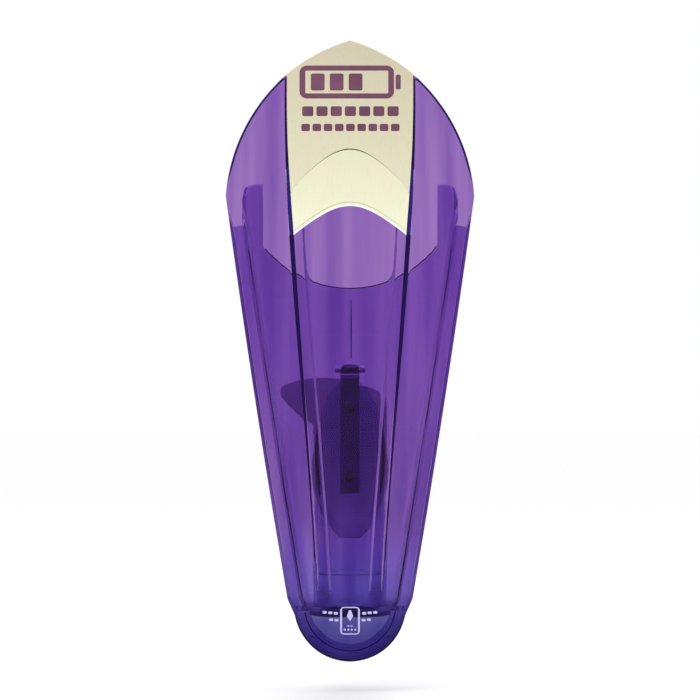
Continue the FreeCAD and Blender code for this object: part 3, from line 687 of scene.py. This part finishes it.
def chin_mark():
    """A container icon holding an arrow and dots, between rows of plain dashes that rise outwards."""
    mark = frame_parts(0, -0.5, 9.2, 13.0, 1.8, 0.52)
    mark += [rounded_box(x, -4.7, 0.9, 0.9, 0.4) for x in (-2.4, -0.8, 0.8, 2.4)]
    mark += [rounded_box(x, -3.0, 0.8, 0.8, 0.35) for x in (-0.8, 0.8)]
    mark += [[(-1.5, 1.6), (0, -0.6), (1.5, 1.6), (0.5, 1.6), (0.5, 4.4), (-0.5, 4.4), (-0.5, 1.6)]]
    upper, lower = (3, 6.6, 2.6, 3.0, 0.25, 1.9, 1.2), (2, 6.3, 2.5, -0.2, 0.2, 1.8, 1.1)
    for count, near, pitch, z, rise, wide, tall in (upper, lower):
        for side in (-1, 1):
            for i in range(count):
                mark.append(rounded_box(side * (near + pitch * i), z + rise * i, wide, tall, 0.35))
    return mark


# ------------------------------------------------------------ materials

# colours by height in millimetres. The front's darker, bluer bottom is painted shade;
# the rear is darker towards its bottom, the plate towards its top and the crescent towards its crease
FRONT_TINTS_AND_SHADE = [(-12, (0.056, 0.049, 0.225)), (-1, (0.078, 0.082, 0.255)), (5, (0.155, 0.145, 0.34)),
               (13, (0.32, 0.31, 0.50)), (50, (0.41, 0.285, 0.515)), (130, (0.38, 0.215, 0.545))]
REAR_TINTS = [(-10, (0.55, 0.48, 0.80)), (60, (0.65, 0.50, 0.86)), (180, (0.65, 0.50, 0.86))]
# the duct's near-white band around 33 to 40 mm, at its front lip just under the flap, is a painted
# highlight
DUCT_TINTS_AND_HIGHLIGHT = [(0, (0.78, 0.86, 0.93)), (26, (0.92, 0.98, 1.0)), (33, (1.0, 1.0, 1.0)),
              (40, (1.0, 1.0, 1.0)), (50, (0.74, 0.8, 0.92))]
SATIN_TINTS = [(200, (0.72, 0.69, 0.50)), (228, (0.65, 0.61, 0.43)), (268, (0.54, 0.49, 0.345))]
BRIGHT_TINTS = [(181, (0.88, 0.87, 0.65)), (200, (0.79, 0.78, 0.56)), (219, (0.74, 0.73, 0.51))]
RUBBER_TINTS = [(40, (0.60, 0.48, 0.68)), (62, (0.50, 0.40, 0.58)), (85, (0.38, 0.27, 0.46)),
                (115, (0.38, 0.28, 0.46))]
SPINE_TINTS = [(50, (0.26, 0.13, 0.34)), (110, (0.20, 0.09, 0.28))]

# the clear plastic's streaks, its reflections and its depth, and the smoky pieces' reflections
CLEAR_SHADE, CLEAR_SHEEN, CLEAR_DEPTH = (0.56, 0.44, 0.78), (0.38, 0.22, 0.6), (0.491, 0.155, 0.697)
SMOKY_SHEEN, SMOKY_IOR = (0.3, 0.25, 0.4), 1.45


def material(name):
    """A new material, its nodes, its links and its shader."""
    made = bpy.data.materials.new(name)
    made.use_nodes = True
    return made, made.node_tree.nodes, made.node_tree.links, made.node_tree.nodes["Principled BSDF"]


def noise(nodes, links, scale, detail=3.0, stretch=(1, 1, 1)):
    """Noise in the object's own metres, stretched along its axes."""
    place = nodes.new("ShaderNodeTexCoord")
    mapping = nodes.new("ShaderNodeMapping")
    mapping.inputs["Scale"].default_value = stretch
    grain = nodes.new("ShaderNodeTexNoise")
    grain.inputs["Scale"].default_value = scale
    grain.inputs["Detail"].default_value = detail
    links.new(place.outputs["Object"], mapping.inputs["Vector"])
    links.new(mapping.outputs["Vector"], grain.inputs["Vector"])
    return grain.outputs["Fac"]


def spread(nodes, links, value, low, high):
    """Map a noise, which lies mostly between 0.3 and 0.7, to a range."""
    stretch = nodes.new("ShaderNodeMapRange")
    stretch.inputs["From Min"].default_value = 0.3
    stretch.inputs["From Max"].default_value = 0.7
    stretch.inputs["To Min"].default_value = low
    stretch.inputs["To Max"].default_value = high
    links.new(value, stretch.inputs["Value"])
    return stretch.outputs["Result"]


def roughen(nodes, links, shader, grain, low, high):
    """Roughness that follows a grain from low to high."""
    links.new(spread(nodes, links, grain, low, high), shader.inputs["Roughness"])


def bump(nodes, links, shader, height, strength, distance):
    """Relief on the surface, from a height between 0 and 1."""
    relief = nodes.new("ShaderNodeBump")
    relief.inputs["Strength"].default_value = strength
    relief.inputs["Distance"].default_value = distance
    links.new(height, relief.inputs["Height"])
    links.new(relief.outputs["Normal"], shader.inputs["Normal"])


def tinted(nodes, links, shader, value, dark, light):
    """Base colour between two tones."""
    mix = nodes.new("ShaderNodeMix")
    mix.data_type = "RGBA"
    mix.inputs["A"].default_value = (*dark, 1)
    mix.inputs["B"].default_value = (*light, 1)
    links.new(spread(nodes, links, value, 0, 1), mix.inputs["Factor"])
    links.new(mix.outputs["Result"], shader.inputs["Base Color"])


def by_height(nodes, links, height_colours):
    """Colour that changes with height. tints is (height in millimetres, colour), lowest first."""
    place = nodes.new("ShaderNodeTexCoord")
    split = nodes.new("ShaderNodeSeparateXYZ")
    height = nodes.new("ShaderNodeMapRange")
    ramp = nodes.new("ShaderNodeValToRGB")
    low, high = height_colours[0][0], height_colours[-1][0]
    height.inputs["From Min"].default_value = low * MM
    height.inputs["From Max"].default_value = high * MM
    stops = ramp.color_ramp.elements
    stops[0].color, stops[1].color = (*height_colours[0][1], 1), (*height_colours[-1][1], 1)
    for z, colour in height_colours[1:-1]:
        stops.new((z - low) / (high - low)).color = (*colour, 1)
    links.new(place.outputs["Object"], split.inputs["Vector"])
    links.new(split.outputs["Z"], height.inputs["Value"])
    links.new(height.outputs["Result"], ramp.inputs["Fac"])
    return ramp.outputs["Color"]


def streaked(nodes, links, shader, colour, shade, grain):
    """Base colour, multiplied by a shade where a grain is high."""
    streaks = nodes.new("ShaderNodeMix")
    streaks.data_type, streaks.blend_type = "RGBA", "MULTIPLY"
    streaks.inputs["B"].default_value = (*shade, 1)
    links.new(colour, streaks.inputs["A"])
    links.new(spread(nodes, links, grain, 0, 1), streaks.inputs["Factor"])
    links.new(streaks.outputs["Result"], shader.inputs["Base Color"])


def clear_plastic(name, density, height_colours, ior):
    """See-through plastic: part of its colour lies in its skin and part in its depth. On the front the
    skin's colours by height hold painted shade, on the duct a painted highlight.
    """
    made, nodes, links, shader = material(name)
    streaked(nodes, links, shader, by_height(nodes, links, height_colours), CLEAR_SHADE,
             noise(nodes, links, 95, 4, (1, 1, 0.045)))
    shader.inputs["Transmission Weight"].default_value = 1.0
    shader.inputs["IOR"].default_value = ior
    shader.inputs["Specular Tint"].default_value = (*CLEAR_SHEEN, 1)
    roughen(nodes, links, shader, noise(nodes, links, 900, 5), 0.0, 0.02)
    bump(nodes, links, shader, noise(nodes, links, 110, 2, (1, 1, 0.12)), 0.3, 0.0003)
    depth = nodes.new("ShaderNodeVolumeAbsorption")
    depth.inputs["Color"].default_value = (*CLEAR_DEPTH, 1)
    depth.inputs["Density"].default_value = density
    links.new(depth.outputs["Volume"], nodes["Material Output"].inputs["Volume"])
    return made


def trim_finish(name, height_colours, roughness):
    """Pearly cream plastic with a fine lengthwise grain."""
    made, nodes, links, shader = material(name)
    grain = noise(nodes, links, 320, 5, (9, 9, 0.16))
    streaked(nodes, links, shader, by_height(nodes, links, height_colours), (0.93, 0.925, 0.92), grain)
    shader.inputs["Metallic"].default_value = 0.25
    shader.inputs["Coat Weight"].default_value = 0.35
    shader.inputs["Coat Roughness"].default_value = 0.12
    roughen(nodes, links, shader, grain, roughness - 0.06, roughness + 0.06)
    bump(nodes, links, shader, grain, 0.05, 0.0001)
    return made


def moulded(name, dark, light, roughness):
    """Opaque plastic, rubber or ink with a fine moulded texture."""
    made, nodes, links, shader = material(name)
    grain = noise(nodes, links, 1400, 4)
    tinted(nodes, links, shader, noise(nodes, links, 90, 3), dark, light)
    roughen(nodes, links, shader, grain, roughness - 0.08, roughness + 0.08)
    bump(nodes, links, shader, grain, 0.25, 0.0001)
    return made


def smoky(name, height_colours, roughness, relief):
    """Dark rubber or plastic that lets a little light through."""
    made, nodes, links, shader = material(name)
    grain = noise(nodes, links, 160, 4)
    streaked(nodes, links, shader, by_height(nodes, links, height_colours), (0.8, 0.8, 0.8), grain)
    shader.inputs["Transmission Weight"].default_value = 1.0
    shader.inputs["IOR"].default_value = SMOKY_IOR
    shader.inputs["Specular Tint"].default_value = (*SMOKY_SHEEN, 1)
    roughen(nodes, links, shader, grain, roughness * 0.6, roughness)
    bump(nodes, links, shader, grain, relief, 0.0002)
    return made


def steel(name, tone, roughness):
    """Steel with marks drawn along X."""
    made, nodes, links, shader = material(name)
    drawn = noise(nodes, links, 500, 3, (0.2, 4, 4))
    tinted(nodes, links, shader, drawn, tuple(0.85 * v for v in tone), tone)
    shader.inputs["Metallic"].default_value = 1.0
    roughen(nodes, links, shader, drawn, roughness - 0.05, roughness + 0.1)
    return made


def dress(node, finish, width=0.0):
    """Give a carried-over CAD node its finish and soft edges."""
    item = NODES[node]
    for place in item.material_slots:
        place.material = finish
    if width:
        soften(item, width, 2)


def finish_piece(item, made):
    """Give a new piece its material."""
    item.data.materials.clear()
    item.data.materials.append(made)


# ------------------------------------------------------------ pieces

shell = front_shell()
tub = rear_tub()
duct = inlet_tube()
finish_piece(shell, clear_plastic("purple_clear_front", 60, FRONT_TINTS_AND_SHADE, 1.42))
finish_piece(tub, clear_plastic("purple_clear_rear", 15, REAR_TINTS, 1.2))
finish_piece(duct, clear_plastic("purple_clear_duct", 80, DUCT_TINTS_AND_HIGHLIGHT, 1.2))

# painted shade: dark strips just under the clear faces stand in for the dark lines that refraction draws
# along the folds and edges
painted_shade_line = moulded("painted_shade_line", (0.022, 0.008, 0.14), (0.030, 0.012, 0.19), 0.5)
painted_shade_line.node_tree.nodes["Principled BSDF"].inputs["Specular IOR Level"].default_value = 0.1
for side in (-1, 1):
    finish_piece(ridge_shade_line(side), painted_shade_line)
    finish_piece(arch_shade_line(side), painted_shade_line)
finish_piece(chin_shade_line("chin_edge_shade", 0.2, 0.7), painted_shade_line)
finish_piece(chin_shade_line("chin_lip_shade", 5.0, 0.5), painted_shade_line)
mouth_path = arc_points((EAR_INNER, MOUTH_SIDE), (0, MOUTH_MIDDLE), (-EAR_INNER, MOUTH_SIDE), 64)
keel_path = [(0.3, z) for z in (KEEL_LOW + 1, (KEEL_LOW + KEEL_HIGH) / 2, KEEL_HIGH - 1)]
mouth_edge_shade = edge_shade_line("mouth_edge_shade", mouth_path, TUB_BACK - TUB_WALL + 0.2, TUB_BACK - 0.3, 0.6)
keel_edge_shade = edge_shade_line("keel_edge_shade", keel_path, 16.6, 19.6, 0.4)
finish_piece(mouth_edge_shade, painted_shade_line)
finish_piece(keel_edge_shade, painted_shade_line)


def crease(share):
    """Z of the crescent's upper edge."""
    return arch_height(share, CREASE_MIDDLE, CREASE_SIDE)


def lower_edge(share):
    """Z of the crescent's lower edge."""
    return arch_height(share, EDGE_MIDDLE, EDGE_SIDE)


def plate_foot(share):
    """Z of the plate's lower edge, a crease's gap above the crescent."""
    return crease(share) + CREASE_GAP


def plate_top(share):
    """Z of the plate's upper edge, along the container's arch."""
    return arch_top(share * (RIDGE_LOW + RIDGE_GAIN - 2 * TRIM_GAP))


plate = trim_piece("trim_plate", "label_plate", "container", plate_foot, plate_top, STRIP - 1)
crescent = trim_piece("trim_button", "release_button", "button", lower_edge, crease, 0.0, rim=True)
finish_piece(plate, trim_finish("cream_satin", SATIN_TINTS, 0.34))
finish_piece(crescent, trim_finish("cream_bright", BRIGHT_TINTS, 0.2))

smoke_rubber = smoky("smoke_rubber", RUBBER_TINTS, 0.02, 0.04)
smoke_plastic = smoky("smoke_plastic", SPINE_TINTS, 0.02, 0.03)
violet_rubber = moulded("violet_rubber", (0.09, 0.06, 0.36), (0.12, 0.08, 0.44), 0.55)
black_plastic = moulded("black_plastic", (0.014, 0.014, 0.016), (0.03, 0.03, 0.034), 0.42)
grey_plastic = moulded("dark_grey_plastic", (0.05, 0.05, 0.054), (0.08, 0.08, 0.085), 0.45)
bright_steel = steel("bright_steel", (0.72, 0.72, 0.74), 0.2)
for node, finish, width in (
        ("inlet_seal", violet_rubber, 0.5), ("inlet_flap", smoke_rubber, 0.3),
        ("flap_spine", smoke_plastic, 0.4), ("flap_rivet_high", black_plastic, 0.0),
        ("flap_rivet_low", black_plastic, 0.0), ("latch_lever", black_plastic, 0.25),
        ("latch_carrier", grey_plastic, 0.25), ("flap_pin", bright_steel, 0.15),
        ("latch_pin", bright_steel, 0.15), ("latch_spring", bright_steel, 0.0),
        ("carrier_screw_left", bright_steel, 0.15), ("carrier_screw_right", bright_steel, 0.15)):
    dress(node, finish, width)

purple_ink = moulded("purple_ink", (0.105, 0.022, 0.062), (0.145, 0.035, 0.09), 0.45)
white_ink = moulded("white_ink", (0.46, 0.43, 0.78), (0.58, 0.54, 0.86), 0.45)
label = battery_mark(250.5) + dashes(7, -19.6, 236.8, 6.6, 5.2, 4.6, 0.8)
label += dashes(9, -20.6, 229.2, 5.2, 4.0, 3.4, 0.7)
label_print = printed("label_print", label, "container", 0.03, trim_surface)
chin_print = printed("chin_print", chin_mark(), "container", 0.05, front_y)
finish_piece(label_print, purple_ink)
finish_piece(chin_print, white_ink)


# ------------------------------------------------------------ studio

# in metres, the floor's radius, how far it lies under the chin, and the camera's distance
ROOM_RADIUS, FLOOR_DROP, CAMERA_DISTANCE = 6.0, 0.015, 1.9
# how much nearer than the box's middle the chin and apex are, and how far the camera is raised above it
OUTLINE_NEARER, CAMERA_RAISE = 0.02, 0.0009
# share of the picture's height that the container takes up
FRAME_SHARE = 0.88757
SENSOR = 36


def area_light(name, at, aim, size, power):
    """A soft rectangular light at a place, turned to an aim."""
    light = bpy.data.lights.new(name, "AREA")
    light.shape, light.size, light.size_y, light.energy = "RECTANGLE", size[0], size[1], power
    item = bpy.data.objects.new(name, light)
    item.location = at
    item.rotation_euler = (Vector(aim) - Vector(at)).to_track_quat("-Z", "Y").to_euler()
    bpy.context.scene.collection.objects.link(item)


def floor():
    """A round pale floor a little under the chin."""
    ground = CAD_BOUNDS[0][2] - FLOOR_DROP
    around = round_outline(0, 0, ROOM_RADIUS, 96)
    mesh = bpy.data.meshes.new("floor")
    mesh.from_pydata([(x, y, ground) for x, y in around], [], [tuple(range(len(around)))])
    item = bpy.data.objects.new("floor", mesh)
    bpy.context.scene.collection.objects.link(item)
    pale, _, _, shader = material("pale_floor")
    shader.inputs["Base Color"].default_value = (0.985, 0.985, 0.985, 1)
    shader.inputs["Roughness"].default_value = 1.0
    shader.inputs["Specular IOR Level"].default_value = 0.0
    mesh.materials.append(pale)


def studio():
    """Even white all round, with soft lights for the trim and the facets."""
    world = bpy.data.worlds.new("white_room")
    world.use_nodes = True
    world.node_tree.nodes["Background"].inputs["Color"].default_value = (1, 1, 1, 1)
    world.node_tree.nodes["Background"].inputs["Strength"].default_value = 1.0
    bpy.context.scene.world = world
    floor()
    middle = (CAD_BOUNDS[0][2] + CAD_BOUNDS[1][2]) / 2
    area_light("key", (-0.5, -1.3, 1.3), (0, 0, middle), (0.9, 0.5), 5)
    area_light("rim", (0.2, 1.2, 1.0), (0, 0, middle), (0.9, 0.6), 6)
    bpy.context.scene.view_settings.view_transform = "Standard"
    bpy.context.scene.view_settings.look = "None"


def camera():
    """Long lens, square on to the front."""
    low, high = CAD_BOUNDS
    nearer = CAMERA_DISTANCE - OUTLINE_NEARER
    framed = (high[2] - low[2]) / FRAME_SHARE * CAMERA_DISTANCE / nearer
    data = bpy.data.cameras.new("front_camera")
    data.sensor_width = SENSOR
    data.lens = SENSOR * CAMERA_DISTANCE / framed
    data.clip_end = 20
    item = bpy.data.objects.new("front_camera", data)
    item.location = (0, (low[1] + high[1]) / 2 - CAMERA_DISTANCE, (low[2] + high[2]) / 2 + CAMERA_RAISE)
    item.rotation_euler = (math.radians(90), 0, 0)
    bpy.context.scene.collection.objects.link(item)
    bpy.context.scene.camera = item


studio()
camera()
